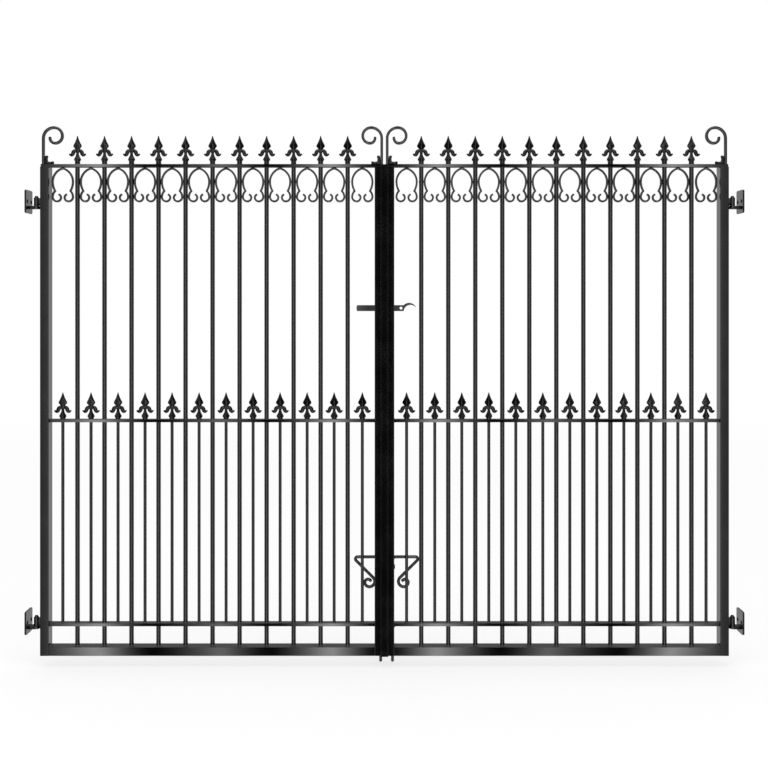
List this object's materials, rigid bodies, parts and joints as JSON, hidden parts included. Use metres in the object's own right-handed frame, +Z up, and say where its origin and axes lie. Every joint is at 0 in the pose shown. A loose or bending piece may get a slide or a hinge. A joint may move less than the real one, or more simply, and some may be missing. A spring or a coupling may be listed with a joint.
{
  "type": "double wrought iron driveway gate",
  "caption": "Double-leaf black wrought iron driveway gate with spearheads, arch rings, corner scrolls, drop bolts and a latch lever.",
  "frame": {"origin": "middle of the lower left bracket's wall face", "axes": "+X across the opening to the right, +Y inward, the way the leaves swing, +Z up"},
  "size_m": [2.479, 0.07, 1.87],
  "materials": {
    "ironwork": "gloss black paint",
    "fittings": "gloss black paint"
  },
  "bodies": {
    "root": {"lower_left_bracket": "ironwork", "lower_right_bracket": "ironwork", "upper_left_bracket": "ironwork", "upper_right_bracket": "ironwork"},
    "left_leaf": {"left_hinge_stile": "ironwork", "left_meeting_stile": "ironwork", "left_bottom_rail": "ironwork", "left_lower_flat": "ironwork", "left_middle_flat": "ironwork", "left_top_flat": "ironwork", "left_main_bars": "ironwork", "left_dog_bars": "ironwork", "left_spearheads": "ironwork", "left_dog_spearheads": "ironwork", "left_arch_rings": "ironwork", "left_corner_scrolls": "ironwork", "left_corner_leaves": "ironwork", "left_hinge_eyes": "ironwork", "left_lock_nuts": "ironwork", "left_bolt_guides": "ironwork", "latch_rest": "ironwork"},
    "right_leaf": {"right_hinge_stile": "ironwork", "right_meeting_stile": "ironwork", "right_bottom_rail": "ironwork", "right_lower_flat": "ironwork", "right_middle_flat": "ironwork", "right_top_flat": "ironwork", "right_main_bars": "ironwork", "right_dog_bars": "ironwork", "right_spearheads": "ironwork", "right_dog_spearheads": "ironwork", "right_arch_rings": "ironwork", "right_corner_scrolls": "ironwork", "right_corner_leaves": "ironwork", "right_hinge_eyes": "ironwork", "right_lock_nuts": "ironwork", "right_bolt_guides": "ironwork", "closing_strip": "ironwork", "latch_pivot": "ironwork"},
    "left_bolt": {"left_drop_bolt": "fittings"},
    "right_bolt": {"right_drop_bolt": "fittings"},
    "lever": {"latch_lever": "fittings"}
  },
  "joints": [
    {"name": "left_swing", "type": "hinge", "parent": "root", "child": "left_leaf", "pos_m": [0.031, 0, 0], "axis": [0, 0, 1], "range_deg": [0, 90]},
    {"name": "right_swing", "type": "hinge", "parent": "root", "child": "right_leaf", "pos_m": [2.448, 0, 0], "axis": [0, 0, -1], "range_deg": [0, 90]},
    {"name": "left_bolt_slide", "type": "slide", "parent": "left_leaf", "child": "left_bolt", "axis": [0, 0, 1], "range_m": [0, 0.1]},
    {"name": "right_bolt_slide", "type": "slide", "parent": "right_leaf", "child": "right_bolt", "axis": [0, 0, 1], "range_m": [0, 0.1]},
    {"name": "latch_lift", "type": "hinge", "parent": "right_leaf", "child": "lever", "pos_m": [1.2585, 0.0275, 1.087], "axis": [0, 1, 0], "range_deg": [0, 90]}
  ]
}
